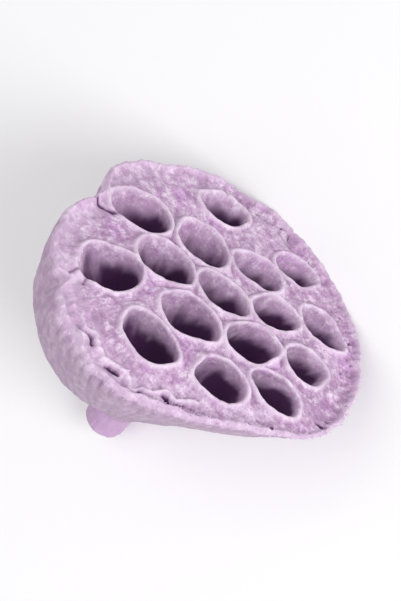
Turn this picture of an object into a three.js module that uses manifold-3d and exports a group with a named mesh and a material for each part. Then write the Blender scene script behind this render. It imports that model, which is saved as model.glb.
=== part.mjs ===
// A dried lotus pod, lying on its flank. Millimetres, +Z up, origin under the middle of the pod.
// The pod is drawn standing on its stalk first: the seed face looks to +Z and the cut stalk to -Z.
// It is then tipped over onto the side that it dried on, which is pressed slightly flat.
import * as THREE from 'three';
import { mergeVertices } from 'three/addons/utils/BufferGeometryUtils.js';
import Module from 'manifold-3d';

// Driving dimensions of the body
const FACE_RADIUS = 39.5;
const FACE_DOME = 2.5;
const BODY_DEPTH = 42.5;
const STALK_RADIUS = 5.2;
const STALK_LENGTH = 8.5;
const STALK_ROUNDING = 1.5;
const LIP_HEIGHT = 1.0;
const LIP_WIDTH = 1.6;

// The flank falls from the rim as 1 - t^power: a power of one is a cone, a higher one is a bowl and a
// lower one a hollow cone. These sides raise or lower it: azimuth and half-width in degrees
const FLANK_POWER = 1.0;
const FLANK_SIDES = [
  { azimuth: -137, width: 30, height: 1.15 },
  { azimuth: -62, width: 26, height: -0.2 },
];

// Broad swellings and dents of the rim: azimuth and half-width in degrees, height in millimetres
const RIM_LOBES = [
  { azimuth: 30, width: 22, height: 1.6 },
  { azimuth: 92, width: 16, height: 1.0 },
  { azimuth: 175, width: 8, height: -5 },
  { azimuth: -142, width: 24, height: -1.5 },
  { azimuth: -55, width: 20, height: -5 },
  { azimuth: -12, width: 14, height: 1.2 },
];
// How fast the lobes fade down the flank
const LOBE_FADE = 6;

// Where the rim hangs lower or stands higher than the rest
const RIM_WAVES = [
  { azimuth: -112, width: 26, height: -2.5 },
  { azimuth: -20, width: 24, height: 0.8 },
];

// Seed cells: one in the middle, a ring of six, and an outer ring of nine
const CELL_RINGS = [
  { count: 1, radius: 0, start: 0, depth: 13 },
  { count: 6, radius: 14, start: 28, depth: 12.5 },
  { count: 9, radius: 26.5, start: 4, depth: 11 },
];
const CELL_FIELD_SHIFT = 3.6;
const OUTER_RING_CROWDING = 18;
const CROWDED_AWAY_FROM = 255;
const CELL_RADIUS = 6.1;
const CELL_STRETCH = 1.3;
// The ovals lie more or less along one direction, because the pod has shrunk across it
const CELL_GRAIN = 12;
const CELL_GRAIN_SPREAD = 24;
const CELL_SIZE_SWING = 0.18;
const CELL_SIZE_JITTER = 0.06;
const LARGEST_CELLS_SIDE = 215;
const CELL_JITTER = 0.9;
const THINNEST_CELL_WALL = 1.7;
const FREE_MARGIN = 5.2;
const CELLS_MEET_AT_DEPTH = 72;
const SETTLING_ROUNDS = 30;

// A cell from its bottom to its mouth: shares of its radius and of its depth
const CELL_PROFILE = [[0.55, 0.93], [0.83, 0.68], [0.95, 0.33], [1, 0]];
// How far the cutter of a cell stands out of the face
const CELL_OVERSHOOT = 5;

// How the pod lies
const RESTING_SIDE = 70;
const RESTING_RADIUS = 38;
const PRESSED_DEPTH = 0.5;

// Mesh fineness
const AZIMUTH_STEPS = 72;
const CELL_SIDES = 16;

const DRIED_LILAC = 0xcdb0d6;

const radians = THREE.MathUtils.degToRad;
const degrees = THREE.MathUtils.radToDeg;
const lerp = THREE.MathUtils.lerp;

// A repeatable number from -1 to 1 for each index and purpose
function variation(index, purpose) {
  const wave = Math.sin(index * 12.9898 + purpose * 78.233) * 43758.5453;
  return 2 * (wave - Math.floor(wave)) - 1;
}

// The signed angle in degrees from one azimuth to another, from -180 to 180
function azimuthGap(from, to) {
  return THREE.MathUtils.euclideanModulo(to - from + 180, 360) - 180;
}

// The sum of some swellings at an azimuth
function swelling(lobes, azimuth) {
  let height = 0;
  for (const lobe of lobes) {
    const away = azimuthGap(lobe.azimuth, azimuth) / lobe.width;
    height += lobe.height * Math.exp(-away * away / 2);
  }
  return height;
}

function rimRadius(azimuth) {
  return FACE_RADIUS + swelling(RIM_LOBES, azimuth);
}

function flankRadius(azimuth, depthShare) {
  const power = FLANK_POWER + swelling(FLANK_SIDES, azimuth);
  const lobes = swelling(RIM_LOBES, azimuth) * (1 - depthShare) ** LOBE_FADE;
  return lerp(STALK_RADIUS, FACE_RADIUS + lobes, 1 - depthShare ** power);
}

function flankHeight(azimuth, depthShare) {
  return -depthShare * BODY_DEPTH + swelling(RIM_WAVES, azimuth) * (1 - depthShare) ** 3;
}

function faceHeight(azimuth, radiusShare) {
  return FACE_DOME * (1 - radiusShare ** 2) + swelling(RIM_WAVES, azimuth) * radiusShare ** 4;
}

// The body's rings from the face to the stalk's end: radius and height at an azimuth
function bodyRings() {
  const rings = [];
  for (const share of [0.2, 0.4, 0.6, 0.78, 0.9]) {
    const radius = (azimuth) => share * rimRadius(azimuth);
    rings.push({ radius, height: (azimuth) => faceHeight(azimuth, share) });
  }
  rings.push({
    radius: (azimuth) => rimRadius(azimuth) - LIP_WIDTH,
    height: (azimuth) => LIP_HEIGHT + flankHeight(azimuth, 0),
  });
  for (const share of [0, 0.05, 0.12, 0.2, 0.3, 0.4, 0.5, 0.6, 0.7, 0.8, 0.9, 0.96, 1]) {
    const radius = (azimuth) => flankRadius(azimuth, share);
    rings.push({ radius, height: (azimuth) => flankHeight(azimuth, share) });
  }
  const stalkEnd = -BODY_DEPTH - STALK_LENGTH;
  rings.push({ radius: () => STALK_RADIUS, height: () => stalkEnd + STALK_ROUNDING });
  rings.push({ radius: () => STALK_RADIUS - STALK_ROUNDING, height: () => stalkEnd });
  return rings;
}

// A closed skin over the rings, with one point at the middle of the face and one at the stalk's end
function bodyGeometry() {
  const rings = bodyRings();
  const points = [0, 0, FACE_DOME];
  for (const ring of rings) {
    for (let step = 0; step < AZIMUTH_STEPS; step++) {
      const azimuth = (360 * step) / AZIMUTH_STEPS;
      const radius = ring.radius(azimuth);
      points.push(radius * Math.cos(radians(azimuth)), radius * Math.sin(radians(azimuth)));
      points.push(ring.height(azimuth));
    }
  }
  points.push(0, 0, rings.at(-1).height(0));
  const lastPoint = points.length / 3 - 1;
  const pointAt = (ring, step) => 1 + ring * AZIMUTH_STEPS + (step % AZIMUTH_STEPS);

  const faces = [];
  for (let step = 0; step < AZIMUTH_STEPS; step++) {
    faces.push(0, pointAt(0, step), pointAt(0, step + 1));
    for (let ring = 0; ring < rings.length - 1; ring++) {
      const inner = [pointAt(ring, step), pointAt(ring, step + 1)];
      const outer = [pointAt(ring + 1, step), pointAt(ring + 1, step + 1)];
      faces.push(inner[0], outer[0], outer[1], inner[0], outer[1], inner[1]);
    }
    faces.push(pointAt(rings.length - 1, step), lastPoint, pointAt(rings.length - 1, step + 1));
  }
  const geometry = new THREE.BufferGeometry();
  geometry.setAttribute('position', new THREE.Float32BufferAttribute(points, 3));
  geometry.setIndex(faces);
  return geometry;
}

// The cells' places on the face, ring by ring, with the outer ring crowded to one side
function plannedCells() {
  const cells = [];
  for (const ring of CELL_RINGS) {
    for (let step = 0; step < ring.count; step++) {
      let azimuth = ring.start + (360 * step) / ring.count;
      if (ring === CELL_RINGS.at(-1)) {
        azimuth += OUTER_RING_CROWDING * Math.cos(radians(azimuth - CROWDED_AWAY_FROM));
      }
      const index = cells.length;
      const towardLargest = Math.cos(radians(azimuth - LARGEST_CELLS_SIDE));
      const swing = (CELL_SIZE_SWING * ring.radius * towardLargest) / FACE_RADIUS;
      cells.push({
        x: ring.radius * Math.cos(radians(azimuth)) + CELL_JITTER * variation(index, 1),
        y: ring.radius * Math.sin(radians(azimuth)) + CELL_FIELD_SHIFT + CELL_JITTER * variation(index, 2),
        radius: CELL_RADIUS * (1 + swing + CELL_SIZE_JITTER * variation(index, 3)),
        turn: CELL_GRAIN + CELL_GRAIN_SPREAD * variation(index, 4),
        depth: ring.depth,
      });
    }
  }
  return cells;
}

// How far an oval cell reaches from its middle towards an azimuth
function cellReach(cell, azimuth) {
  const away = radians(azimuth - cell.turn);
  return cell.radius / Math.sqrt(Math.cos(away) ** 2 / CELL_STRETCH + Math.sin(away) ** 2 * CELL_STRETCH);
}

// Moves two cells apart where the wall between them would be too thin
function pushApart(one, other) {
  const apart = Math.hypot(other.x - one.x, other.y - one.y);
  const azimuth = degrees(Math.atan2(other.y - one.y, other.x - one.x));
  const wanted = cellReach(one, azimuth) + cellReach(other, azimuth) + THINNEST_CELL_WALL;
  const push = Math.max(0, wanted - apart) / (2 * apart);
  const [stepX, stepY] = [push * (other.x - one.x), push * (other.y - one.y)];
  one.x -= stepX;
  one.y -= stepY;
  other.x += stepX;
  other.y += stepY;
}

// Moves a cell inwards where it would come too close to the rim
function keepInside(cell) {
  const azimuth = degrees(Math.atan2(cell.y, cell.x));
  const reach = rimRadius(azimuth) - FREE_MARGIN - cellReach(cell, azimuth);
  const shrink = Math.min(1, reach / Math.hypot(cell.x, cell.y));
  cell.x *= shrink;
  cell.y *= shrink;
}

// The planned cells after they have grown into each other's way
function seedCells() {
  const cells = plannedCells();
  for (let round = 0; round < SETTLING_ROUNDS; round++) {
    cells.forEach((one, index) => cells.slice(index + 1).forEach((other) => pushApart(one, other)));
    cells.forEach(keepInside);
  }
  return cells;
}

// A pocket with an oval mouth and a round bottom, leaning towards the stalk
function cellGeometry(cell) {
  const profile = [new THREE.Vector2(0, -cell.depth)];
  for (const [width, depth] of CELL_PROFILE) {
    profile.push(new THREE.Vector2(width * cell.radius, -depth * cell.depth));
  }
  profile.push(new THREE.Vector2(cell.radius, CELL_OVERSHOOT), new THREE.Vector2(0, CELL_OVERSHOOT));
  const geometry = new THREE.LatheGeometry(profile, CELL_SIDES);
  geometry.rotateX(Math.PI / 2);
  const stretch = Math.sqrt(CELL_STRETCH);
  geometry.scale(stretch, 1 / stretch, 1);
  geometry.rotateZ(radians(cell.turn));
  const down = new THREE.Vector3(-cell.x, -cell.y, -CELLS_MEET_AT_DEPTH).normalize();
  const lean = new THREE.Quaternion().setFromUnitVectors(new THREE.Vector3(0, 0, -1), down);
  geometry.applyQuaternion(lean);
  const azimuth = degrees(Math.atan2(cell.y, cell.x));
  const share = Math.hypot(cell.x, cell.y) / FACE_RADIUS;
  geometry.translate(cell.x, cell.y, faceHeight(azimuth, share));
  return geometry;
}

const wasm = await Module();
wasm.setup();

function solidFrom(geometry) {
  geometry.deleteAttribute('normal');
  geometry.deleteAttribute('uv');
  const merged = mergeVertices(geometry, 1e-4);
  const vertProperties = new Float32Array(merged.attributes.position.array);
  const triVerts = new Uint32Array(merged.index.array);
  return new wasm.Manifold(new wasm.Mesh({ numProp: 3, vertProperties, triVerts }));
}

function geometryFrom(solid) {
  const mesh = solid.getMesh();
  const geometry = new THREE.BufferGeometry();
  geometry.setAttribute('position', new THREE.BufferAttribute(mesh.vertProperties, 3));
  geometry.setIndex(new THREE.BufferAttribute(mesh.triVerts, 1));
  return geometry;
}

// Tips the pod over, so that the rim of the resting side and the stalk's end touch the ground
function tippedOver() {
  const faceTilt = Math.atan2(RESTING_RADIUS - STALK_RADIUS, BODY_DEPTH + STALK_LENGTH);
  const turn = new THREE.Matrix4().makeRotationZ(radians(-90 - RESTING_SIDE));
  const tip = new THREE.Matrix4().makeRotationX(Math.PI / 2 - faceTilt);
  const lift = RESTING_RADIUS * Math.cos(faceTilt) - PRESSED_DEPTH;
  return new THREE.Matrix4().makeTranslation(0, 0, lift).multiply(tip).multiply(turn);
}

// Everything that the dried pod would reach below the ground has been pressed away
function groundGeometry() {
  const size = 4 * FACE_RADIUS;
  return new THREE.BoxGeometry(size, size, size).translate(0, 0, -size / 2);
}

function lotusPod() {
  const lying = tippedOver();
  let solid = solidFrom(bodyGeometry().applyMatrix4(lying));
  for (const cell of seedCells()) {
    solid = solid.subtract(solidFrom(cellGeometry(cell).applyMatrix4(lying)));
  }
  const geometry = geometryFrom(solid.subtract(solidFrom(groundGeometry())));
  geometry.computeBoundingBox();
  const middle = geometry.boundingBox.getCenter(new THREE.Vector3());
  geometry.translate(-middle.x, -middle.y, 0);
  const material = new THREE.MeshStandardMaterial({ color: DRIED_LILAC, roughness: 0.9, metalness: 0 });
  const mesh = new THREE.Mesh(geometry, material);
  mesh.name = 'lotus_pod';
  return mesh;
}

const pod = new THREE.Group();
pod.add(lotusPod());

export default pod;
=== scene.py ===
"""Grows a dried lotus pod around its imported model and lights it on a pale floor."""

import math

import bpy
import numpy as np
from mathutils import Matrix, Vector
from mathutils.geometry import delaunay_2d_cdt


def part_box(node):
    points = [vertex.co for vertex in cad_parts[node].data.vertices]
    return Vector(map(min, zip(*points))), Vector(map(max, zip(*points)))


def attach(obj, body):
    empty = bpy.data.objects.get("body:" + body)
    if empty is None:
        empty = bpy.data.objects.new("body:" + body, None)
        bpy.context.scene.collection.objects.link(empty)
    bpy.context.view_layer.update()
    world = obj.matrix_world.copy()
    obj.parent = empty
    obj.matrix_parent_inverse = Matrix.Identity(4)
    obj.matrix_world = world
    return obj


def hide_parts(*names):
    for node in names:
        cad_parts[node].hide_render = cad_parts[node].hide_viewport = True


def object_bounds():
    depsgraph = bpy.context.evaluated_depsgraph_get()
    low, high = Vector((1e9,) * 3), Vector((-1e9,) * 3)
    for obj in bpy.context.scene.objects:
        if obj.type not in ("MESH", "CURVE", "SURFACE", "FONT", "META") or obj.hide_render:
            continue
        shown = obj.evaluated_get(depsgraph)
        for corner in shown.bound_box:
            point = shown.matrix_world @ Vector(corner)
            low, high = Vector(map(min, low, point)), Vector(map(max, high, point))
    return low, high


bl_info = {
    "name": "Dried lotus pod",
    "version": (1, 0, 0),
    "blender": (4, 5, 0),
    "location": "3D View > Sidebar > Lotus pod",
    "description": "Grows a dried lotus pod and lights it on a pale floor",
    "category": "Add Mesh",
}

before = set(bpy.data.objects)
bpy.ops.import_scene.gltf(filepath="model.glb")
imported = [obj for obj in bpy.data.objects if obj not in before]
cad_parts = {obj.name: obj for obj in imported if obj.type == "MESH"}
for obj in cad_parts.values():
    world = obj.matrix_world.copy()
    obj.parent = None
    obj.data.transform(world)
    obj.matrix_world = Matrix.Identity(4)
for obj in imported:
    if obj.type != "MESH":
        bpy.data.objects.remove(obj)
MODEL_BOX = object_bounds()
MODEL_NODE = "lotus_pod"
MM = 0.001

# ---------------------------------------------------------------------------------------------
# The pod's habit, in millimetres and degrees. The pod is drawn with its seed face towards +Z and
# its stalk towards -Z, and is tipped over onto its side at the end.
# ---------------------------------------------------------------------------------------------

STALK_ROUNDING = 1.5
STALK_SHARE = 1.2

# The flank falls from the rim as 1 - t ** power: a power of one is a cone, a higher one is a bowl
# and a lower one a hollow cone. These sides raise or lower it: azimuth, half-width, rise
FLANK_POWER = 1.0
FLANK_SIDES = ((-137, 30, 1.15), (-62, 26, -0.2))

# Broad swellings and dents of the rim, and where it hangs lower or stands higher than the rest:
# azimuth, half-width, height
RIM_LOBES = (
    (30, 22, 1.6),
    (92, 16, 1.0),
    (175, 8, -5),
    (-142, 24, -1.5),
    (-55, 20, -5),
    (-12, 14, 1.2),
)
RIM_WAVES = ((-112, 26, -2.5), (-20, 24, 0.8))
LOBE_FADE = 6

# Seed cells in rings from the middle out: count, radius of the ring, first azimuth, depth
CELL_RINGS = ((1, 0, 0, 13), (6, 14, 28, 12.5), (9, 26.5, 4, 11))
CELL_FIELD_SHIFT = 3.6
OUTER_RING_CROWDING = 18
CROWDED_AWAY_FROM = 255
CELL_RADIUS = 6.1
CELL_STRETCH = 1.3
CELL_GRAIN = 12
CELL_GRAIN_SPREAD = 24
CELL_SIZE_SWING = 0.18
CELL_SIZE_JITTER = 0.06
LARGEST_CELLS_SIDE = 215
CELL_JITTER = 0.9
THINNEST_CELL_WALL = 1.7
FREE_MARGIN = 5.2
CELLS_MEET_AT_DEPTH = 72
SETTLING_ROUNDS = 30

# The air channels that show in the cut end of the stalk
CHANNEL_COUNT = 7
CHANNEL_CIRCLE = 3.0
CHANNEL_RADIUS = 0.5
CHANNEL_DEPTH = 0.6

# What befell this pod's rim: the azimuth of each mark, and the torn lip's half-width
TORN_LIP = -90
TORN_LIP_SPREAD = 31
FOLD = 178
KNOB = -115
NICK = -138

# How far inside the rim they lie, how far out the fold starts, and the side that is frayed
TORN_LIP_INSET = 4.2
KNOB_INSET = 1.6
TEAR_INSET = 4.6
FOLD_STARTS_AT = 26.5
FRAYED_SIDE = -45

# Heights and depths of the skin's relief
LIP_INSET = 0.42
LIP_WIDTH = 0.62
CREASE_DEPTH = 0.4
RING_DEPTH = 0.22
SKIN_HEIGHT = 1.3
SLIT_DEPTH = 1.3
PIT_DEPTH = 0.8
FOLD_DEPTH = 0.7
KNOB_HEIGHT = 1.3
RIM_SCALLOPS = 0.16
RIM_RAGGEDNESS = 0.34
RIM_BUMPS = 0.65
FLANK_DENTS = 0.5
COLLAR_HEIGHT = 0.4

# How uneven the mouths' outlines, the cells' depths and the strength of their painted shade are, and
# the side where their walls get more painted shade, and how much more
MOUTH_WOBBLE = 0.055
DEPTH_SPREAD = 0.05
PAINTED_SHADE_SPREAD = 0.15
PAINTED_SHADE_SIDE = -35
PAINTED_SHADE_SIDE_SHARE = 0.55

# A cell's wall from its mouth to its round bottom, as shares of its depth and of its width
WALL_DEPTHS = (0, 0.1, 0.33, 0.55, 0.72, 0.86, 0.95, 1)
WALL_WIDTHS = (1, 0.99, 0.955, 0.89, 0.79, 0.62, 0.38, 0)

# Patterns of the tissue's colour and grain, as features per metre
CLOUDS = 75.0
FLUSHES = 130.0
PATCHES = 190.0
MOTTLE = 430.0
SPECKS = 1100.0
FELT = 2600.0

# The side it rests on, its radius there, and how far and in what layer it is pressed flat
RESTING_SIDE = 70
RESTING_RADIUS = 38
PRESSED_DEPTH = 0.5
PRESSED_LAYER = 1.2

# Fineness of the mesh
AZIMUTH_STEPS = 384
FLANK_ROWS = 92
EDGE_ROWS = 7
STALK_ROWS = 12
STALK_END_ROWS = 24
MOUTH_STEPS = 48
WALL_ROWS = 17
FACE_SPACING = 0.36
EDGE_OVERHANG = 0.8


def variation(index, purpose):
    """A repeatable number from -1 to 1 for each index and purpose."""
    wave = math.sin(index * 12.9898 + purpose * 78.233) * 43758.5453
    return 2 * (wave - math.floor(wave)) - 1


def smooth_step(low, high, value):
    """Rises smoothly from 0 at low to 1 at high."""
    share = np.clip((value - low) / (high - low), 0, 1)
    return share * share * (3 - 2 * share)


def bell(value, width):
    return np.exp(-((value / width) ** 2))


def azimuth_gap(azimuth, middle):
    """Degrees from middle to an azimuth, from -180 to 180."""
    return (azimuth - middle + 180) % 360 - 180


def facing(azimuth, side):
    """1 on a side of the pod, falling to 0 at right angles to it."""
    return np.clip(np.cos(np.radians(azimuth - side)), 0, 1)


def frayed_side(azimuth):
    return smooth_step(0.0, 0.9, facing(azimuth, FRAYED_SIDE))


def swelling(lobes, azimuth):
    """The sum of some swellings at an azimuth."""
    height = 0.0
    for middle, width, rise in lobes:
        away = azimuth_gap(azimuth, middle) / width
        height = height + rise * np.exp(-away * away / 2)
    return height


def lattice_noise(points, seed):
    """Smooth noise from -1 to 1 at points (n, 3), about one unit across. Each use has its seed."""
    base = np.floor(points).astype(np.int64)
    share = points - base
    share = share * share * (3 - 2 * share)
    total = np.zeros(len(points))
    for corner in range(8):
        step = np.array([corner & 1, corner >> 1 & 1, corner >> 2 & 1])
        spot = base + step
        mixed = spot[:, 0] * 374761393 + spot[:, 1] * 668265263 + spot[:, 2] * 1440662683
        mixed = (mixed + seed * 1274126177) & 0xFFFFFFFF
        mixed = ((mixed ^ (mixed >> 13)) * 1274126177) & 0xFFFFFFFF
        value = ((mixed ^ (mixed >> 16)) & 0xFFFF) / 32767.5 - 1
        weight = np.where(step == 1, share, 1 - share).prod(axis=1)
        total += weight * value
    return total


def layered_noise(points, size, seed, layers=3):
    """Noise in ever finer layers. The coarsest features are about size across."""
    total = np.zeros(len(points))
    for layer in range(layers):
        total += lattice_noise(points * (2**layer / size), seed + layer) / 2**layer
    return total


def on_circle(azimuth, radius, along):
    """Points for noise that runs round the pod without a seam."""
    angle = np.radians(azimuth)
    along = np.broadcast_to(along, np.shape(azimuth))
    spots = (radius * np.cos(angle), radius * np.sin(angle), along)
    return np.stack([np.ravel(spot) for spot in np.broadcast_arrays(*spots)], axis=1)


def grid_faces(rows, columns):
    """Triangles over a grid of points that closes round on itself along its columns."""
    row, column = np.meshgrid(np.arange(rows - 1), np.arange(columns), indexing="ij")
    following = (column + 1) % columns
    near, near_next = row * columns + column, row * columns + following
    far, far_next = near + columns, near_next + columns
    first = np.stack([near, far, far_next], axis=-1).reshape(-1, 3)
    second = np.stack([near, far_next, near_next], axis=-1).reshape(-1, 3)
    return np.concatenate([first, second])


def grid_normals(points):
    """Outward directions of a closed grid (rows, columns, 3)."""
    along = np.gradient(points, axis=0)
    around = np.roll(points, -1, axis=1) - np.roll(points, 1, axis=1)
    normals = np.cross(along, around)
    return normals / np.maximum(np.linalg.norm(normals, axis=2, keepdims=True), 1e-9)


class Cell:
    """One seed cell: its place on the face, its size, its turn and its depth."""

    def __init__(self, index, ring, step):
        count, ring_radius, start, self.depth = ring
        azimuth = start + 360 * step / count
        if ring is CELL_RINGS[-1]:
            azimuth += OUTER_RING_CROWDING * math.cos(math.radians(azimuth - CROWDED_AWAY_FROM))
        angle = math.radians(azimuth)
        self.index = index
        self.x = ring_radius * math.cos(angle) + CELL_JITTER * variation(index, 1)
        self.y = ring_radius * math.sin(angle) + CELL_FIELD_SHIFT + CELL_JITTER * variation(index, 2)
        self.share = ring_radius * math.cos(math.radians(azimuth - LARGEST_CELLS_SIDE))
        self.turn = math.radians(CELL_GRAIN + CELL_GRAIN_SPREAD * variation(index, 4))
        # How strongly this cell's walls are darkened with painted shade, a little different for each
        # cell
        self.painted_shade_strength = 1 + PAINTED_SHADE_SPREAD * variation(index, 6)

    def take_size(self, face_radius):
        swing = CELL_SIZE_SWING * self.share / face_radius
        self.radius = CELL_RADIUS * (1 + swing + CELL_SIZE_JITTER * variation(self.index, 3))

    def reach(self, angle):
        """How far the even oval reaches from its middle towards an azimuth."""
        away = angle - self.turn
        return self.radius / math.sqrt(
            math.cos(away) ** 2 / CELL_STRETCH + math.sin(away) ** 2 * CELL_STRETCH
        )

    def push_apart(self, other):
        across, up = other.x - self.x, other.y - self.y
        apart, angle = math.hypot(across, up), math.atan2(up, across)
        wanted = self.reach(angle) + other.reach(angle) + THINNEST_CELL_WALL
        push = max(0, wanted - apart) / (2 * apart)
        self.x -= push * across
        self.y -= push * up
        other.x += push * across
        other.y += push * up

    def outline(self, angle):
        """How far the mouth's edge is from an even oval at an angle round it, as a share."""
        wobble = np.ones_like(angle)
        for wave in (2, 3, 4, 5):
            phase = math.pi * variation(self.index, 10 + wave)
            wobble += MOUTH_WOBBLE / (wave - 1) ** 0.7 * np.cos(wave * angle + phase)
        return wobble

    def mouth(self, angle):
        """Offsets of the mouth's edge from its middle."""
        stretch = math.sqrt(CELL_STRETCH)
        size = self.radius * self.outline(angle)
        along, across = size * stretch * np.cos(angle), size / stretch * np.sin(angle)
        cosine, sine = math.cos(self.turn), math.sin(self.turn)
        return along * cosine - across * sine, along * sine + across * cosine

    def distance(self, x, y):
        """About how far points on the face are outside the mouth's edge."""
        stretch = math.sqrt(CELL_STRETCH)
        cosine, sine = math.cos(self.turn), math.sin(self.turn)
        along = ((x - self.x) * cosine + (y - self.y) * sine) / stretch
        across = ((y - self.y) * cosine - (x - self.x) * sine) * stretch
        angle = np.arctan2(across, along)
        return np.hypot(along, across) - self.radius * self.outline(angle)


class Pod:
    """The whole pod's form, from a few driving sizes in millimetres."""

    def __init__(self, shape):
        self.face_radius = shape.face_radius / MM
        self.face_dome = shape.face_dome / MM
        self.body_depth = shape.body_depth / MM
        self.stalk_radius = shape.stalk_radius / MM
        self.stalk_length = shape.stalk_length / MM
        self.mouth_lip = shape.mouth_lip / MM
        self.rim_lip = shape.rim_lip / MM
        self.rib_height = shape.rib_height / MM
        self.rib_count = shape.rib_count
        self.cells = self.settled_cells()

    def settled_cells(self):
        cells = []
        for ring in CELL_RINGS:
            for step in range(ring[0]):
                cells.append(Cell(len(cells), ring, step))
                cells[-1].take_size(self.face_radius)
        for _ in range(SETTLING_ROUNDS):
            for index, one in enumerate(cells):
                for other in cells[index + 1 :]:
                    one.push_apart(other)
            for cell in cells:
                self.keep_inside(cell)
        return cells

    def keep_inside(self, cell):
        angle = math.atan2(cell.y, cell.x)
        reach = self.plain_rim(math.degrees(angle)) - FREE_MARGIN - cell.reach(angle)
        shrink = min(1, reach / math.hypot(cell.x, cell.y))
        cell.x *= shrink
        cell.y *= shrink

    def plain_rim(self, azimuth):
        return self.face_radius + swelling(RIM_LOBES, azimuth)

    def ribs(self, azimuth, depth_share):
        """Lengthwise ribs, from -1 in the furrows to 1 on the crests. They wander a little."""
        wander = 1.5 * lattice_noise(on_circle(azimuth, 3.2, 3.5 * depth_share), 11)
        spread = 6.0 * lattice_noise(on_circle(azimuth, 1.6, 0), 12)
        turns = np.radians(np.ravel(azimuth) + wander + spread) * self.rib_count
        crest = 1 - 2 * np.abs(np.sin(turns / 2)) ** 0.8
        strength = 0.6 + 0.4 * lattice_noise(on_circle(azimuth, 7, 2.5 * depth_share), 13)
        return (-crest * strength).reshape(np.shape(azimuth))

    def rim(self, azimuth):
        """The rim's radius with its scallops and its ragged edge."""
        azimuth = np.asarray(azimuth, dtype=float)
        scallop = RIM_SCALLOPS * self.ribs(azimuth, np.zeros_like(azimuth))
        ragged = RIM_RAGGEDNESS * layered_noise(on_circle(azimuth, 12, 0), 1, 21)
        ragged += RIM_BUMPS * lattice_noise(on_circle(azimuth, 4.5, 0), 24)
        nick = swelling(((NICK, 2.2, -2.4), (NICK - 7, 1.5, -0.8)), azimuth)
        return self.plain_rim(azimuth) + scallop + ragged.reshape(azimuth.shape) + nick

    def flank_radius(self, azimuth, depth_share):
        power = FLANK_POWER + swelling(FLANK_SIDES, azimuth)
        lobes = (self.rim(azimuth) - self.face_radius) * (1 - depth_share) ** LOBE_FADE
        widest = self.face_radius + lobes
        return self.stalk_radius + (widest - self.stalk_radius) * (1 - depth_share**power)

    def flank_height(self, azimuth, depth_share):
        return -depth_share * self.body_depth + swelling(RIM_WAVES, azimuth) * (1 - depth_share) ** 3

    def torn_lip(self, azimuth, from_rim):
        """A thin torn skin that stands up inside the near margin, and the slits under it."""
        away = azimuth_gap(azimuth, TORN_LIP) / TORN_LIP_SPREAD
        present = smooth_step(-0.9, -0.3, lattice_noise(on_circle(azimuth, 6, 0), 71))
        present = present * np.exp(-(away**4))
        wander = 1.1 * layered_noise(on_circle(azimuth, 11, 0), 1, 72)
        line = from_rim - TORN_LIP_INSET - wander
        skin = present * bell(line, 0.55)
        gaps = smooth_step(-0.3, 0.2, lattice_noise(on_circle(azimuth, 13, 0), 73))
        return skin, present * gaps * bell(line + 1.0, 0.5)

    def pits(self, flat, azimuth, from_rim):
        """Pits of the margin's near side and scattered grains on its far side."""
        near = bell(from_rim - 2.2, 1.8) * facing(azimuth, FRAYED_SIDE)
        near = near * smooth_step(0.42, 0.7, lattice_noise(flat * (0.55, 0.9, 1), 74))
        grains = smooth_step(0.58, 0.75, lattice_noise(flat / 0.8, 76)) * bell(from_rim - 3.5, 3)
        return np.maximum(near, 0.8 * facing(azimuth, 60) * grains)

    def fold(self, x, y, flat):
        """A fold that runs in from the rim."""
        angle = math.radians(FOLD)
        across = y * math.cos(angle) - x * math.sin(angle) + 0.5 * lattice_noise(flat / 2.5, 75)
        along = x * math.cos(angle) + y * math.sin(angle)
        return bell(across, 0.45) * smooth_step(FOLD_STARTS_AT, FOLD_STARTS_AT + 2.5, along)

    def from_spot(self, x, y, azimuth, inset):
        """Offsets of points from a spot inside the rim."""
        angle, reach = math.radians(azimuth), self.plain_rim(azimuth) - inset
        return x - reach * math.cos(angle), y - reach * math.sin(angle)

    def knob_and_tear(self, x, y):
        """A knob on the rim, and a bleached tear inside it with its crack."""
        knob = bell(np.hypot(*self.from_spot(x, y, KNOB, KNOB_INSET)), 1.5)
        across, up = self.from_spot(x, y, NICK, TEAR_INSET)
        away = np.hypot(across, up / 1.4)
        return knob, bell(away, 1.2), bell(away - 2.1, 0.45) * (up > 0)

    def cell_relief(self, x, y, flat):
        """The raised lips of the cells, the swelling round them, and the creases between them."""
        distances = np.sort(np.stack([cell.distance(x, y) for cell in self.cells]), axis=0)
        nearest, second = distances[0], distances[1]
        lip = bell(nearest - LIP_INSET, LIP_WIDTH) * (1 + 0.35 * layered_noise(flat, 4, 31, 2))
        swell = bell(np.maximum(nearest, 0), 2.6)
        between = smooth_step(0.5, 0.9, nearest) * smooth_step(3.6, 1.6, nearest)
        broken = smooth_step(-0.6, 0.2, lattice_noise(flat / 4, 32))
        crease = bell(second - nearest, 0.45) * between * broken
        ring = bell(nearest - 1.25, 0.3) * smooth_step(-0.1, 0.5, lattice_noise(flat / 5, 37))
        return lip, swell, crease, ring

    def face_relief(self, x, y):
        """Heights of points on the seed face, and the tones of the skin there."""
        azimuth = np.degrees(np.arctan2(y, x))
        from_rim = self.rim(azimuth) - np.hypot(x, y)
        share = np.hypot(x, y) / self.plain_rim(azimuth)
        flat = np.stack([x, y, np.zeros_like(x)], axis=1)

        lip, swell, crease, ring = self.cell_relief(x, y, flat)
        margin = smooth_step(0.74, 0.95, share)
        folds = 1 - np.abs(layered_noise(on_circle(azimuth, 12, share * 1.6), 1, 33, 2)) * 2.2
        pleats = self.ribs(azimuth, np.zeros_like(x))
        curl = 1 + 0.6 * lattice_noise(on_circle(azimuth, 4, 0), 34)
        rim_lip = smooth_step(2.0, EDGE_OVERHANG, from_rim) * curl
        skin, slits = self.torn_lip(azimuth, from_rim)
        knob, tear, crack = self.knob_and_tear(x, y)
        pits = self.pits(flat, azimuth, from_rim) + 0.6 * crack
        fold = self.fold(x, y, flat) + 0.9 * tear

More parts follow.
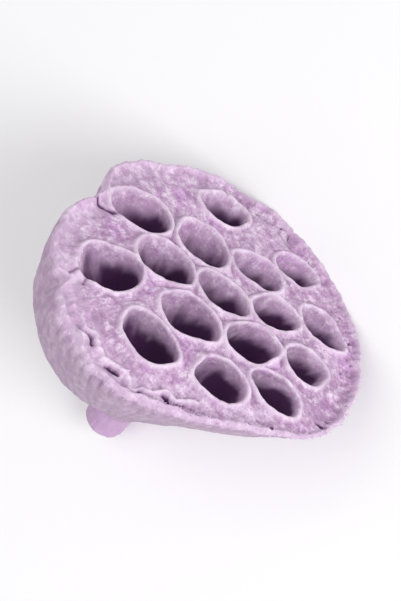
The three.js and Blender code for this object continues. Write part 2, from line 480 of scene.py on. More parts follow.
        height = self.face_dome * (1 - share**2) + swelling(RIM_WAVES, azimuth) * share**4
        height += 0.35 * layered_noise(flat, 15, 35, 2) - 0.5 * bell(from_rim - 4.2, 2.2)
        height += self.mouth_lip * lip + 0.35 * swell - CREASE_DEPTH * crease - RING_DEPTH * ring
        height += margin * (0.22 * folds + 0.12 * pleats) + self.rim_lip * rim_lip
        height += SKIN_HEIGHT * skin - SLIT_DEPTH * slits + KNOB_HEIGHT * knob
        height -= PIT_DEPTH * pits + FOLD_DEPTH * fold
        height += 0.14 * layered_noise(flat, 3.2, 38, 2) + 0.15 * layered_noise(flat, 1.4, 36)

        # Painted light: the margin is painted paler, most on one side, round azimuth -150.
        painted_margin_light = margin * np.clip(0.25 + 0.75 * np.cos(np.radians(azimuth + 150)), 0, 1)
        # The lip tone paints highlights on the cells' lips, the torn skin and the knob, and makes
        # the tear pale; the crease tone paints shade in the creases between the cells, the grooves
        # round them and the margin's folds; the edge tone paints a highlight on the rim's lip and
        # the painted light on the margin.
        tones = {
            "lip": 0.8 * lip + 1.5 * skin + 1.2 * knob + 1.2 * tear,
            "crease": crease + 0.7 * ring + 0.8 * margin * smooth_step(0.5, -0.6, folds),
            "edge": np.maximum(rim_lip, 0.75 * painted_margin_light),
        }
        tones = {name: np.clip(tone, 0, 1) for name, tone in tones.items()}
        # Painted shade in the slits, pits, grains and fold, kept off the tear.
        tones["depth"] = np.clip((0.62 * slits + 0.6 * pits + 0.5 * fold) * (1 - tear), 0, 0.65)
        tones["fray"] = rim_lip * frayed_side(azimuth) + skin
        return height, tones


class Skin:
    """Collects patches of points and triangles with their tones, and makes one closed mesh."""

    TONES = ("depth", "lip", "crease", "flank", "edge", "stalk", "fray")

    def __init__(self):
        self.points, self.faces, self.tones, self.growth, self.count = [], [], [], [], 0

    def add(self, points, faces, growth, **tones):
        points = points.reshape(-1, 3)
        self.points.append(points)
        self.faces.append(faces + self.count)
        self.growth.append(growth.reshape(-1, 3))
        rows = [np.broadcast_to(tones.get(tone, 0.0), len(points)) for tone in self.TONES]
        self.tones.append(np.stack(rows, axis=1))
        self.count += len(points)

    def mesh(self, name, place):
        """Welds the patches' shared edges and places the points with the function place."""
        points = np.concatenate(self.points)
        keys = np.round(points, 5)
        _, kept, renamed = np.unique(keys, axis=0, return_index=True, return_inverse=True)
        faces = renamed.reshape(-1)[np.concatenate(self.faces)]
        whole = (faces != np.roll(faces, 1, axis=1)).all(axis=1)
        mesh = bpy.data.meshes.new(name)
        mesh.from_pydata(place(points[kept]).tolist(), [], faces[whole].tolist())
        tones = np.concatenate(self.tones)[kept]
        for column, tone in enumerate(self.TONES):
            layer = mesh.attributes.new(tone, "FLOAT", "POINT")
            layer.data.foreach_set("value", tones[:, column].astype(np.float32))
        layer = mesh.attributes.new("growth", "FLOAT_VECTOR", "POINT")
        growth = np.concatenate(self.growth)[kept]
        layer.data.foreach_set("vector", growth.astype(np.float32).ravel())
        mesh.shade_smooth()
        return mesh


def azimuths():
    return np.arange(AZIMUTH_STEPS) * 360 / AZIMUTH_STEPS


def rim_loop(pod):
    """The crest of the rim's lip, where the seed face meets the flank."""
    azimuth = azimuths()
    radius = pod.rim(azimuth) - EDGE_OVERHANG
    x, y = radius * np.cos(np.radians(azimuth)), radius * np.sin(np.radians(azimuth))
    return np.stack([x, y, pod.face_relief(x, y)[0]], axis=1)


def mouth_loop(pod, cell):
    angle = np.arange(MOUTH_STEPS) * 2 * math.pi / MOUTH_STEPS
    across, up = cell.mouth(angle)
    x, y = cell.x + across, cell.y + up
    return np.stack([x, y, pod.face_relief(x, y)[0]], axis=1)


def scattered_points(pod):
    """Evenly spread points on the seed face, clear of its edge and of the mouths."""
    reach = pod.face_radius + 5
    rows = np.arange(-reach, reach, FACE_SPACING * math.sqrt(3) / 2)
    columns = np.arange(-reach, reach, FACE_SPACING)
    y, x = np.meshgrid(rows, columns, indexing="ij")
    x = x + FACE_SPACING / 2 * (np.arange(len(rows)) % 2)[:, None]
    flat = np.stack([x.ravel(), y.ravel(), np.zeros(x.size)], axis=1)
    x = x.ravel() + 0.12 * FACE_SPACING * lattice_noise(flat / 0.3, 41)
    y = y.ravel() + 0.12 * FACE_SPACING * lattice_noise(flat / 0.3, 42)
    inside = np.hypot(x, y) < pod.rim(np.degrees(np.arctan2(y, x))) - EDGE_OVERHANG - 0.3
    for cell in pod.cells:
        inside &= cell.distance(x, y) > 0.28
    return np.stack([x[inside], y[inside]], axis=1)


def inside_loop(points, loop):
    """Whether points lie inside a closed loop: an odd number of its edges is to their right."""
    inside = np.zeros(len(points), dtype=bool)
    for start, end in zip(loop, np.roll(loop, -1, axis=0)):
        if start[1] != end[1]:
            spans = (start[1] > points[:, 1]) != (end[1] > points[:, 1])
            slope = (end[0] - start[0]) / (end[1] - start[1])
            inside ^= spans & (points[:, 0] < start[0] + slope * (points[:, 1] - start[1]))
    return inside


def add_face(skin, pod):
    """The seed face: a sheet of triangles with a hole for each cell's mouth."""
    loops = [rim_loop(pod)[:, :2]] + [mouth_loop(pod, cell)[:, :2] for cell in pod.cells]
    edges, start = [], 0
    for loop in loops:
        size = len(loop)
        edges += [(start + step, start + (step + 1) % size) for step in range(size)]
        start += size
    flat = np.concatenate(loops + [scattered_points(pod)])
    found = delaunay_2d_cdt([Vector(spot) for spot in flat], edges, [], 0, 1e-6)
    spots = np.array([tuple(spot) for spot in found[0]])
    for spot, sources in enumerate(found[3]):
        if sources:
            spots[spot] = flat[sources[0]]
    faces = np.array(found[2])
    middle = spots[faces].mean(axis=1)
    keep = inside_loop(middle, loops[0])
    for loop in loops[1:]:
        keep &= ~inside_loop(middle, loop)
    height, tones = pod.face_relief(spots[:, 0], spots[:, 1])
    points = np.column_stack([spots, height])
    azimuth = np.degrees(np.arctan2(spots[:, 1], spots[:, 0]))
    growth = on_circle(azimuth, pod.face_radius, np.hypot(spots[:, 0], spots[:, 1]))
    skin.add(points, faces[keep], growth, **tones)


def wall_points(loop, cell, share, creasing):
    """Rows of points down a cell's wall, which leans towards the stalk, and their depths."""
    down = np.array([-cell.x, -cell.y, -CELLS_MEET_AT_DEPTH])
    down /= np.linalg.norm(down)
    depth = cell.depth * (1 - DEPTH_SPREAD + DEPTH_SPREAD * variation(cell.index, 5)) * share
    width = np.interp(share, WALL_DEPTHS, WALL_WIDTHS)
    width = width * (1 + 0.05 * creasing * smooth_step(0, 0.25, share))
    x = cell.x + (loop[:, 0] - cell.x) * width + down[0] * depth
    y = cell.y + (loop[:, 1] - cell.y) * width + down[1] * depth
    level = loop[:, 2] + (loop[:, 2].mean() - loop[:, 2]) * smooth_step(0, 0.3, share)
    return np.stack([x, y, level + down[2] * depth], axis=2), depth


def add_cell(skin, pod, cell):
    """The wall and the bottom of one cell."""
    grid = (WALL_ROWS, MOUTH_STEPS)
    loop = mouth_loop(pod, cell)
    share = np.linspace(0, 1, WALL_ROWS)[:, None] ** 0.9
    angle = np.arange(MOUTH_STEPS) * 360 / MOUTH_STEPS
    spots = on_circle(np.broadcast_to(angle, grid), 2.6, 2.2 * share)
    creasing = layered_noise(spots + 9 * cell.index, 1, 51).reshape(grid)
    points, depth = wall_points(loop, cell, share, creasing)

    around = np.degrees(np.arctan2(loop[:, 1], loop[:, 0]))
    outward = np.hypot(loop[:, 0], loop[:, 1])
    growth = on_circle(np.broadcast_to(around, grid), pod.face_radius, outward + depth)
    # Painted shade: the wall is darkened more the deeper it goes, and more on one side of each cell,
    # where the walls face away from the key light; the wall's creases vary it a little.
    towards_shaded_side = np.cos(np.radians(angle - PAINTED_SHADE_SIDE))
    deep_painted_shade = share * cell.painted_shade_strength * (1 + PAINTED_SHADE_SIDE_SHARE * towards_shaded_side)
    deep_painted_shade = deep_painted_shade + 0.12 * creasing * smooth_step(0, 0.3, share)
    # Painted highlight: the top rows of the wall keep some of the mouth lip's painted highlight.
    lip = np.clip(1 - share * 6, 0, 1) * pod.face_relief(loop[:, 0], loop[:, 1])[1]["lip"]
    tones = {"depth": np.clip(deep_painted_shade, 0, 1).ravel(), "lip": lip.ravel()}
    skin.add(points, grid_faces(*grid)[:, ::-1], growth, **tones)


def flank_points(pod):
    """Rows of points from the rim's lip over its edge and down the flank to the stalk's end.

    Each row is its radius, its height and how far down the flank it is, past 1 on the stalk.
    """
    azimuth = azimuths()
    crest = rim_loop(pod)
    crest_radius = np.hypot(crest[:, 0], crest[:, 1])
    rim, base = pod.rim(azimuth), pod.flank_height(azimuth, 0)
    rows = []
    for step in range(EDGE_ROWS):
        turn = math.pi / 2 * step / EDGE_ROWS
        radius = crest_radius + (rim - crest_radius) * math.sin(turn)
        rows.append((radius, base + (crest[:, 2] - base) * math.cos(turn), 0.0))
    for share in np.linspace(0, 1, FLANK_ROWS):
        rows.append((pod.flank_radius(azimuth, share), pod.flank_height(azimuth, share), share))

    round_trip = np.ones(AZIMUTH_STEPS)
    end = -pod.body_depth - pod.stalk_length
    for step in range(1, STALK_ROWS + 1):
        height = -pod.body_depth + (end + STALK_ROUNDING + pod.body_depth) * step / STALK_ROWS
        rows.append((pod.stalk_radius * round_trip, height * round_trip, STALK_SHARE))
    for step in range(1, STALK_END_ROWS + 1):
        turn = math.pi / 2 * step / STALK_END_ROWS
        radius = pod.stalk_radius * math.cos(turn) ** 0.35 if step < STALK_END_ROWS else 0.0
        height = end + STALK_ROUNDING * (1 - math.sin(turn))
        rows.append((radius * round_trip, height * round_trip, STALK_SHARE))
    radius, height = np.array([row[0] for row in rows]), np.array([row[1] for row in rows])
    share = np.array([row[2] for row in rows])[:, None] * round_trip
    angle = np.radians(azimuth)
    return np.stack([radius * np.cos(angle), radius * np.sin(angle), height], axis=2), share


def cut_end(pod, points):
    """Where the cut end of the stalk is, and where its air channels open."""
    x, y, z = points[..., 0], points[..., 1], points[..., 2]
    end = smooth_step(0.9, 0.4, z + pod.body_depth + pod.stalk_length)
    open_share = np.zeros_like(x)
    for step in range(CHANNEL_COUNT):
        angle = 2 * math.pi * (step + 0.25 * variation(step, 30)) / CHANNEL_COUNT
        across, up = CHANNEL_CIRCLE * math.cos(angle), CHANNEL_CIRCLE * math.sin(angle)
        open_share = np.maximum(open_share, bell(np.hypot(x - across, y - up), CHANNEL_RADIUS))
    return end, end * open_share


def add_flank(skin, pod):
    """The ribbed flank, and the stalk with its grain and its cut end."""
    points, share = flank_points(pod)
    azimuth = np.broadcast_to(azimuths(), share.shape)
    normals = grid_normals(points)
    on_flank = smooth_step(0, 0.05, share)
    on_body = on_flank * (1 - smooth_step(0.88, 1.05, share))
    ribs = pod.ribs(azimuth, np.minimum(share, 1))
    fine = layered_noise(on_circle(azimuth, 26, 6 * share), 1, 61).reshape(share.shape)
    dents = layered_noise(points.reshape(-1, 3), 12, 62, 2).reshape(share.shape)
    rough = layered_noise(points.reshape(-1, 3), 1.8, 63).reshape(share.shape)
    relief = on_body * (pod.rib_height * (1 - 0.5 * share) * ribs + 0.14 * fine)
    relief += on_body * (FLANK_DENTS * dents + 0.1 * rough)

    end, channels = cut_end(pod, points)
    on_stalk = smooth_step(0.96, 1.1, share)
    grain = lattice_noise(on_circle(azimuth, 8, 0.12 * points[:, :, 2]), 64).reshape(share.shape)
    relief += on_stalk * (0.13 * grain * (1 - end) + 0.07 * rough - CHANNEL_DEPTH * channels)
    collar = bell(points[:, :, 2] + pod.body_depth, 1.6) * smooth_step(0.9, 1, share)
    relief += COLLAR_HEIGHT * collar
    points = points + normals * relief[:, :, None]
    points[-1] = points[-1].mean(axis=0)

    growth = on_circle(azimuth, pod.face_radius, share * pod.body_depth)
    # Painted highlight on the rim's edge, painted shade in the flank's furrows and the stalk's grain
    # grooves, and painted shade in the air channels of the cut end, which is also made paler.
    near_rim = 1 - smooth_step(0, 0.03, share)
    furrows = on_body * (0.25 - 0.6 * ribs - 0.4 * fine)
    furrows += 0.5 * on_stalk * (0.2 - grain) * (1 - end)
    tones = {
        "flank": on_flank,
        "crease": np.clip(furrows, 0, 1),
        "edge": np.maximum(near_rim, 0.8 * end),
        "stalk": smooth_step(0.93, 1.03, share) * (1 - 0.5 * end),
        "fray": near_rim * frayed_side(azimuth),
        "depth": 0.45 * channels,
    }
    tones = {name: tone.ravel() for name, tone in tones.items()}
    skin.add(points, grid_faces(*share.shape), growth, **tones)


def tipped_over(pod):
    """The turn that lays the pod down, and how far it is lifted onto the ground."""
    full_depth = pod.body_depth + pod.stalk_length
    tilt = math.atan2(RESTING_RADIUS - pod.stalk_radius, full_depth)
    turn = Matrix.Rotation(math.radians(-90 - RESTING_SIDE), 3, "Z")
    tip = Matrix.Rotation(math.pi / 2 - tilt, 3, "X")
    return np.array(tip @ turn), RESTING_RADIUS * math.cos(tilt) - PRESSED_DEPTH


def laid_down(pod):
    """A function that takes the drawn pod's points, in millimetres, to where it lies, in metres."""
    turn, lift = tipped_over(pod)
    low, high = (np.array(corner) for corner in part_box(MODEL_NODE))

    def place(points):
        points = points @ turn.T
        height = points[:, 2] + lift
        pressed = PRESSED_LAYER * np.exp(np.minimum(height, PRESSED_LAYER) / PRESSED_LAYER - 1)
        points[:, 2] = np.where(height < PRESSED_LAYER, pressed, height)
        points *= MM
        middle = (points.min(axis=0) + points.max(axis=0)) / 2
        points[:, :2] += ((low + high) / 2 - middle)[:2]
        points[:, 2] += low[2] - points[:, 2].min()
        return points

    return place


# ---------------------------------------------------------------------------------------------
# Finish
# ---------------------------------------------------------------------------------------------


class Nodes:
    """Adds and links a material's nodes."""

    def __init__(self, tree):
        self.tree = tree

    def add(self, kind, settings=None, **inputs):
        node = self.tree.nodes.new(kind)
        for name, value in (settings or {}).items():
            setattr(node, name, value)
        for name, value in inputs.items():
            self.put(node, name, value)
        return node

    def put(self, node, name, value):
        socket = node.inputs[int(name)] if name.isdigit() else node.inputs[name]
        if isinstance(value, bpy.types.NodeSocket):
            self.tree.links.new(value, socket)
        else:
            socket.default_value = value

    def tone(self, name):
        return self.add("ShaderNodeAttribute", {"attribute_name": name}).outputs["Fac"]

    def noise(self, where, scale, detail=4.0, roughness=0.55):
        node = self.add("ShaderNodeTexNoise", None, Vector=where, Scale=scale, Detail=detail)
        node.inputs["Roughness"].default_value = roughness
        return node.outputs["Fac"]

    def ranged(self, value, low, high, start=0.0, end=1.0):
        node = self.add("ShaderNodeMapRange", {"interpolation_type": "SMOOTHSTEP"}, Value=value)
        names = ("From Min", "From Max", "To Min", "To Max")
        for name, number in zip(names, (low, high, start, end)):
            node.inputs[name].default_value = number
        return node.outputs["Result"]

    def maths(self, operation, first, second):
        node = self.add("ShaderNodeMath", {"operation": operation})
        self.put(node, "0", first)
        self.put(node, "1", second)
        return node.outputs["Value"]

    def mixed(self, share, first, second, blend="MIX"):
        node = self.add("ShaderNodeMix", {"data_type": "RGBA", "blend_type": blend})
        self.put(node, "0", share)
        self.put(node, "6", first)
        self.put(node, "7", second)
        return node.outputs[2]

    def bump(self, height, distance, strength, **under):
        node = self.add("ShaderNodeBump", None, Height=height, Distance=distance, **under)
        node.inputs["Strength"].default_value = strength
        return node.outputs["Normal"]


def tissue_colour(nodes, place, mottle, fibres, colour):
    """Lilac tissue with broad clouds, flushes and patches, then mottle, specks and streaks."""
    shade_and_dense_dye = tuple(colour.shade_and_dense_dye)
    clouds = nodes.ranged(nodes.noise(place, CLOUDS, 3.0), 0.38, 0.64, 0.0, 0.5)
    flushes = nodes.ranged(nodes.noise(place, FLUSHES, 2.0), 0.53, 0.66, 0.0, 0.6)
    patches = nodes.ranged(nodes.noise(place, PATCHES, 3.0), 0.52, 0.36, 0.0, 0.5)
    tissue = nodes.mixed(clouds, tuple(colour.tissue), tuple(colour.pale_and_painted_light))
    tissue = nodes.mixed(flushes, tissue, tuple(colour.flush))
    tissue = nodes.mixed(patches, tissue, shade_and_dense_dye)
    tissue = nodes.mixed(nodes.ranged(mottle, 0.50, 0.62, 0.0, 0.9), tissue, tuple(colour.lip))
    tissue = nodes.mixed(nodes.ranged(mottle, 0.51, 0.36, 0.0, 0.85), tissue, shade_and_dense_dye)
    specks = nodes.noise(place, SPECKS, 2.0)
    tissue = nodes.mixed(nodes.ranged(specks, 0.62, 0.70, 0.0, 0.7), tissue, shade_and_dense_dye)
    return nodes.mixed(nodes.ranged(fibres, 0.52, 0.36, 0.0, 0.35), tissue, shade_and_dense_dye)


def pod_material(colour):
    """Dry, felt-like tissue: mottled lilac, with painted highlights on the lips and the rim's edge,
    painted light on the margin, painted shade in the creases and in the furrows between the ribs,
    and painted shade darkening to a dark violet down the cells.
    """
    material = bpy.data.materials.new("dried_pod")
    material.use_nodes = True
    nodes = Nodes(material.node_tree)
    shader = material.node_tree.nodes["Principled BSDF"]
    place = nodes.add("ShaderNodeTexCoord").outputs["Object"]
    growth = nodes.add("ShaderNodeAttribute", {"attribute_name": "growth"}).outputs["Vector"]

    mottle = nodes.noise(place, MOTTLE, 6.0, 0.75)
    felt = nodes.noise(place, FELT, 4.0, 0.6)
    stretched = nodes.add("ShaderNodeMapping", None, Vector=growth)
    stretched.inputs["Scale"].default_value = (1.0, 1.0, 0.14)
    fibres = nodes.noise(stretched.outputs["Vector"], 1.5, 4.0, 0.6)

    base = tissue_colour(nodes, place, mottle, fibres, colour)
    # Painted light and shade through the tones: crease paints shade, edge and lip paint highlights
    # and the light on the margin; flank and stalk are the tissue's own colours.
    tints = (
        ("flank", 0.65, colour.flank),
        ("crease", 0.6, colour.shade_and_dense_dye),
        ("edge", 0.55, colour.pale_and_painted_light),
        ("lip", 0.85, colour.lip),
        ("stalk", 0.6, colour.stalk),
    )
    for tone, strength, tint in tints:
        share = nodes.maths("MULTIPLY", nodes.tone(tone), strength)
        base = nodes.mixed(share, base, tuple(tint))
    # Painted shade: the depth tone darkens the cells' walls, slits, pits, fold and air channels,
    # first to the wall colour and then to a dark violet.
    depth = nodes.tone("depth")
    base = nodes.mixed(nodes.ranged(depth, 0.0, 0.3, 0.0, 0.75), base, tuple(colour.wall))
    base = nodes.mixed(nodes.ranged(depth, 0.16, 0.50), base, tuple(colour.deep_painted_shade))
    nodes.put(shader, "Base Color", base)
    nodes.put(shader, "Roughness", nodes.ranged(mottle, 0.3, 0.7, 0.78, 0.95))
    shader.inputs["Specular IOR Level"].default_value = 0.22
    shader.inputs["Sheen Weight"].default_value = 0.08

    grain = nodes.bump(felt, 0.00012, 0.55)
    lines = nodes.bump(fibres, 0.0003, 0.5, Normal=grain)
    nodes.put(shader, "Normal", nodes.bump(mottle, 0.0004, 0.6, Normal=lines))
    return material


def fibre_material(colour):
    """Bleached dry fibres, each a little different along the rim."""
    material = bpy.data.materials.new("dry_fibres")
    material.use_nodes = True
    nodes = Nodes(material.node_tree)
    shader = material.node_tree.nodes["Principled BSDF"]
    place = nodes.add("ShaderNodeTexCoord").outputs["Object"]
    tone = nodes.ranged(nodes.noise(place, 240.0, 2.0), 0.35, 0.65)
    nodes.put(shader, "Base Color", nodes.mixed(tone, tuple(colour.tissue), tuple(colour.lip)))
    shader.inputs["Roughness"].default_value = 0.8
    return material


def fibre_tree():
    """Scatters tapered fibres where the skin is frayed: the whole tree, from named inputs."""
    tree = bpy.data.node_groups.new("frayed_fibres", "GeometryNodeTree")
    inputs = (
        ("Skin", "NodeSocketGeometry"),
        ("Density", "NodeSocketFloat"),
        ("Length", "NodeSocketFloat"),
        ("Thickness", "NodeSocketFloat"),
        ("Spread", "NodeSocketFloat"),
        ("Seed", "NodeSocketInt"),
        ("Finish", "NodeSocketMaterial"),
    )
    for name, kind in inputs:
        tree.interface.new_socket(name, in_out="INPUT", socket_type=kind)
    tree.interface.new_socket("Fibres", in_out="OUTPUT", socket_type="NodeSocketGeometry")
    nodes = Nodes(tree)
    given = nodes.add("NodeGroupInput").outputs

    frayed = nodes.add("GeometryNodeInputNamedAttribute", {"data_type": "FLOAT"}, Name="fray")
    density = nodes.maths("MULTIPLY", given["Density"], frayed.outputs["Attribute"])
    scattered = nodes.add("GeometryNodeDistributePointsOnFaces", None, Mesh=given["Skin"])
    nodes.put(scattered, "Density", density)
    nodes.put(scattered, "Seed", given["Seed"])
    fibre = nodes.add("GeometryNodeMeshCone", None, Vertices=5, Depth=given["Length"])
    nodes.put(fibre, "Radius Bottom", given["Thickness"])
    nodes.put(fibre, "Radius Top", nodes.maths("MULTIPLY", given["Thickness"], 0.3))

    lean = nodes.add("FunctionNodeRandomValue", {"data_type": "FLOAT_VECTOR"}, Seed=given["Seed"])
    lean.inputs["Min"].default_value = (-1.0, -1.0, -1.0)
    widened = nodes.add("ShaderNodeVectorMath", {"operation": "SCALE"}, Scale=given["Spread"])
    nodes.put(widened, "0", lean.outputs["Value"])
    turn = nodes.add("FunctionNodeEulerToRotation", None, Euler=widened.outputs["Vector"])
    turned = nodes.add("FunctionNodeRotateRotation", {"rotation_space": "LOCAL"})
    nodes.put(turned, "Rotation", scattered.outputs["Rotation"])
    nodes.put(turned, "Rotate By", turn.outputs["Rotation"])

    size = nodes.add("FunctionNodeRandomValue", {"data_type": "FLOAT"}, Seed=given["Seed"])
    size.inputs["Min"].default_value = 0.4
    size.inputs["Max"].default_value = 1.3
    grown = nodes.add("GeometryNodeInstanceOnPoints", None, Points=scattered.outputs["Points"])
    nodes.put(grown, "Instance", fibre.outputs["Mesh"])
    nodes.put(grown, "Rotation", turned.outputs["Rotation"])
    nodes.put(grown, "Scale", size.outputs["Value"])
    realized = nodes.add("GeometryNodeRealizeInstances", None, Geometry=grown.outputs["Instances"])
    finished = nodes.add("GeometryNodeSetMaterial", None, Geometry=realized.outputs["Geometry"])
    nodes.put(finished, "Material", given["Finish"])
    nodes.add("NodeGroupOutput", None, Fibres=finished.outputs["Geometry"])
    return tree


def grown_by(tree, mesh, **settings):
    """What the tree makes of a mesh, as a plain mesh."""
    carrier = bpy.data.objects.new("carrier", mesh)
    bpy.context.scene.collection.objects.link(carrier)
    modifier = carrier.modifiers.new("growth", "NODES")
    modifier.node_group = tree
    for socket in tree.interface.items_tree:
        if socket.in_out == "INPUT" and socket.name in settings:
            modifier[socket.identifier] = settings[socket.name]
    evaluated = carrier.evaluated_get(bpy.context.evaluated_depsgraph_get())
    grown = bpy.data.meshes.new_from_object(evaluated)
    bpy.data.objects.remove(carrier)
    return grown


def floor_material(colour):
    material = bpy.data.materials.new("pale_floor")
    material.use_nodes = True
    shader = material.node_tree.nodes["Principled BSDF"]
    shader.inputs["Base Color"].default_value = tuple(colour)
    shader.inputs["Roughness"].default_value = 0.9
    return material


def add_object(name, mesh, material):
    piece = bpy.data.objects.new(name, mesh)
    piece.data.materials.append(material)
    bpy.context.scene.collection.objects.link(piece)
    return piece


# ---------------------------------------------------------------------------------------------
# Settings, operators and panel
# ---------------------------------------------------------------------------------------------


def length(name, description, millimetres):
    return bpy.props.FloatProperty(
        name=name, description=description, default=millimetres * MM, unit="LENGTH", precision=5
    )


def tint(name, description, red, green, blue):
    return bpy.props.FloatVectorProperty(
        name=name, description=description, default=(red, green, blue, 1.0), size=4, subtype="COLOR"
    )


class LotusPodShape(bpy.types.PropertyGroup):
    """Sizes of the pod."""

    face_radius: length("Face radius", "Radius of the seed face at its rim", 39.5)
    face_dome: length("Face dome", "How far the middle of the seed face stands up", 2.5)
    body_depth: length("Body depth", "From the rim to where the stalk begins", 42.5)
    stalk_radius: length("Stalk radius", "Radius of the cut stalk", 5.2)
    stalk_length: length("Stalk length", "Length of the cut stalk", 8.5)
    mouth_lip: length("Mouth lip", "Height of the raised edge round each seed cell", 0.65)
    rim_lip: length("Rim lip", "Height of the raised edge of the seed face", 1.0)
    rib_height: length("Rib height", "Height of the ribs on the flank at the rim", 0.22)
    rib_count: bpy.props.IntProperty(name="Ribs", description="Number of ribs", default=92)
    fibre_length: length("Fibre length", "Longest frayed fibre on the rim", 0.75)
    fibre_thickness: length("Fibre thickness", "Radius of a fibre at its root", 0.08)
    fibre_density: bpy.props.FloatProperty(
        name="Fibre density", description="Fibres per square metre of frayed skin", default=1.6e6
    )
    seed: bpy.props.IntProperty(name="Seed", description="Which way the fibres fall", default=4)


class LotusPodColour(bpy.types.PropertyGroup):
    """Colours of the dyed tissue."""

    tissue: tint("Tissue", "The dyed tissue of the seed face", 0.60, 0.40, 0.60)
    # Painted light and the tissue's own pale: the highlight on the rim's edge, the light on the
    # margin, the pale clouds and the cut end.
    pale_and_painted_light: tint("Pale", "Pale clouds and cut end, painted highlight on the edge and painted light on the margin", 0.76, 0.60, 0.77)
    # Painted highlight on the cells' lips, the knob and the torn skin; also the pale flecks, the
    # fibres and the tear.
    lip: tint("Lip", "Painted highlight on the cells' lips, knob and torn skin; pale flecks, fibres and tear", 0.88, 0.74, 0.89)
    flush: tint("Flush", "Patches that took more dye", 0.66, 0.36, 0.70)
    # Painted shade in creases and furrows; also the denser dye of the patches, mottle, specks and
    # streaks.
    shade_and_dense_dye: tint("Shade", "Painted shade in creases and furrows, and denser dye", 0.36, 0.20, 0.37)
    flank: tint("Flank", "The greyer tissue of the flank", 0.50, 0.385, 0.50)
    stalk: tint("Stalk", "The smooth, well dyed stalk", 0.64, 0.40, 0.68)
    # Painted shade: the cells' upper walls, a little darker than the tissue, the first step of the
    # painted shade down the cells.
    wall: tint("Wall", "The upper wall of the seed cells", 0.56, 0.38, 0.57)
    # Painted shade at the bottom of the cells and in the slits, pits and channels.
    deep_painted_shade: tint("Deep", "The bottom of the seed cells", 0.085, 0.028, 0.100)


class LotusPodStage(bpy.types.PropertyGroup):
    """Floor, light and camera."""

    floor: tint("Floor", "Colour of the floor", 0.93, 0.93, 0.94)
    face_tilt: bpy.props.FloatProperty(
        name="Face tilt",
        description="Angle between the seed face's direction and the camera's",
        default=math.radians(49),
        subtype="ANGLE",
    )
    face_turn: bpy.props.FloatProperty(
        name="Face turn",
        description="How far the seed face is turned in the view",
        default=math.radians(-40.5),
        subtype="ANGLE",
    )
    lens: bpy.props.FloatProperty(
        name="Lens", description="Focal length in millimetres", default=120
    )
    fill: bpy.props.FloatProperty(
        name="Fill", description="Share of the view's width that the pod takes", default=0.82
    )


class LOTUS_OT_grow_pod(bpy.types.Operator):
    """Grow the pod: seed face, cells, rim, flank and stalk in one closed skin"""

    bl_idname = "lotus.grow_pod"
    bl_label = "Grow the pod"

    def execute(self, context):
        pod = Pod(context.scene.lotus_shape)
        skin = Skin()
        add_face(skin, pod)
        for cell in pod.cells:
            add_cell(skin, pod, cell)
        add_flank(skin, pod)
        mesh = skin.mesh("pod", laid_down(pod))
        piece = add_object("pod", mesh, pod_material(context.scene.lotus_colour))
        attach(piece, "root")
        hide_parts(MODEL_NODE)
        return {"FINISHED"}


class LOTUS_OT_fray_rim(bpy.types.Operator):
    """Fray the rim and the torn skin with loose dry fibres"""

    bl_idname = "lotus.fray_rim"
    bl_label = "Fray the rim"

    def execute(self, context):
        shape = context.scene.lotus_shape
        settings = {
            "Density": shape.fibre_density,
            "Length": shape.fibre_length,
            "Thickness": shape.fibre_thickness,
            "Spread": 1.5,
            "Seed": shape.seed,
            "Finish": fibre_material(context.scene.lotus_colour),
        }
        mesh = grown_by(fibre_tree(), bpy.data.objects["pod"].data.copy(), **settings)
        piece = bpy.data.objects.new("rim_fibres", mesh)
        context.scene.collection.objects.link(piece)
        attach(piece, "root")
        return {"FINISHED"}


def view_axes(pod, stage):
    """The camera's right, up and back directions, round the pod as it lies."""
    across = Vector((math.cos(stage.face_turn), math.sin(stage.face_turn)))
    lean = Vector((0, math.cos(stage.face_tilt), math.sin(stage.face_tilt)))
    right = Vector((across.x, 0, 0)) - across.y * lean
    up = Vector((across.y, 0, 0)) + across.x * lean
    back = right.cross(up)
    turn = Matrix(tipped_over(pod)[0].tolist())
    return turn @ right, turn @ up, turn @ back


def add_camera(pod, stage):
    """Looks down on the pod from the side that shows its face and its flank."""
    right, up, back = view_axes(pod, stage)
    mesh = bpy.data.objects["pod"].data
    points = np.empty(len(mesh.vertices) * 3)
    mesh.vertices.foreach_get("co", points)
    points = points.reshape(-1, 3)
    spans = [points @ np.array(axis) for axis in (right, up, back)]
    middle = [(span.min() + span.max()) / 2 for span in spans]
    width = spans[0].max() - spans[0].min()
    data = bpy.data.cameras.new("camera")
    data.lens = stage.lens
    short_side = data.sensor_width * 401 / 601
    distance = width / stage.fill * stage.lens / short_side
    camera = bpy.data.objects.new("camera", data)
    target = right * middle[0] + up * middle[1] + back * middle[2]
    turn = Matrix((right, up, back)).transposed().to_4x4()
    camera.matrix_world = Matrix.Translation(target + back * distance) @ turn
    bpy.context.scene.collection.objects.link(camera)
    bpy.context.scene.camera = camera


def add_light(name, target, direction, distance, size, power):
    """A soft square light that faces the target."""
    data = bpy.data.lights.new(name, "AREA")
    data.shape, data.size, data.energy = "SQUARE", size, power
    light = bpy.data.objects.new(name, data)
    direction = direction.normalized()
    light.location = target + direction * distance
    light.rotation_mode = "QUATERNION"
    light.rotation_quaternion = direction.to_track_quat("Z", "Y")
    bpy.context.scene.collection.objects.link(light)


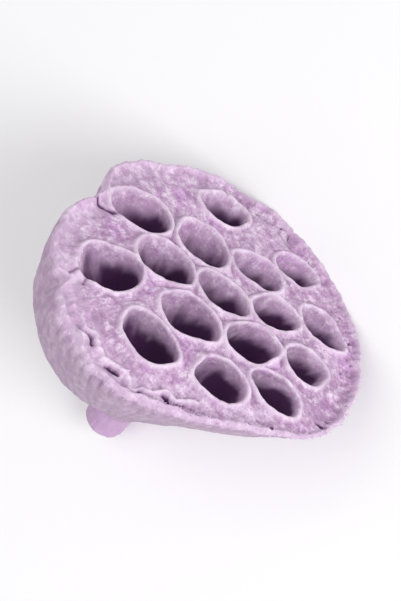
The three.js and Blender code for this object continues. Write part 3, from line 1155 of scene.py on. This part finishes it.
class LOTUS_OT_set_stage(bpy.types.Operator):
    """Set the floor, the lights and the camera"""

    bl_idname = "lotus.set_stage"
    bl_label = "Set the stage"

    def execute(self, context):
        stage = context.scene.lotus_stage
        pod = Pod(context.scene.lotus_shape)
        mesh = bpy.data.meshes.new("floor")
        half = 2.0
        corners = [(-half, -half, 0), (half, -half, 0), (half, half, 0), (-half, half, 0)]
        mesh.from_pydata(corners, [], [(0, 1, 2, 3)])
        add_object("floor", mesh, floor_material(stage.floor))

        right, up, back = view_axes(pod, stage)
        low, high = MODEL_BOX
        target = Vector((0, 0, (low[2] + high[2]) / 2))
        add_light("key_light", target, back + 0.7 * right - 0.4 * up, 0.9, 0.55, 5.0)
        add_light("fill_light", target, back - 0.7 * right + 0.1 * up, 1.0, 1.1, 4.0)
        world = bpy.data.worlds.new("studio")
        world.use_nodes = True
        world.node_tree.nodes["Background"].inputs["Color"].default_value = (1.0, 0.99, 1.0, 1.0)
        world.node_tree.nodes["Background"].inputs["Strength"].default_value = 0.5
        context.scene.world = world
        context.scene.view_settings.view_transform = "Standard"
        add_camera(pod, stage)
        return {"FINISHED"}


class LOTUS_PT_panel(bpy.types.Panel):
    """Lists the pod's settings and steps"""

    bl_label = "Lotus pod"
    bl_idname = "LOTUS_PT_panel"
    bl_space_type = "VIEW_3D"
    bl_region_type = "UI"
    bl_category = "Lotus pod"

    def draw(self, context):
        for group, settings in GROUPS.items():
            box = self.layout.box()
            for name in settings.__annotations__:
                box.prop(getattr(context.scene, group), name)
        for operator in OPERATORS:
            self.layout.operator(operator.bl_idname)


GROUPS = {
    "lotus_shape": LotusPodShape,
    "lotus_colour": LotusPodColour,
    "lotus_stage": LotusPodStage,
}
OPERATORS = (LOTUS_OT_grow_pod, LOTUS_OT_fray_rim, LOTUS_OT_set_stage)


def register():
    for name, group in GROUPS.items():
        bpy.utils.register_class(group)
        setattr(bpy.types.Scene, name, bpy.props.PointerProperty(type=group))
    for operator in OPERATORS:
        bpy.utils.register_class(operator)
    bpy.utils.register_class(LOTUS_PT_panel)


def unregister():
    bpy.utils.unregister_class(LOTUS_PT_panel)
    for operator in reversed(OPERATORS):
        bpy.utils.unregister_class(operator)
    for name, group in GROUPS.items():
        delattr(bpy.types.Scene, name)
        bpy.utils.unregister_class(group)


def main():
    register()
    bpy.ops.lotus.grow_pod()
    bpy.ops.lotus.fray_rim()
    bpy.ops.lotus.set_stage()


if __name__ == "__main__":
    main()
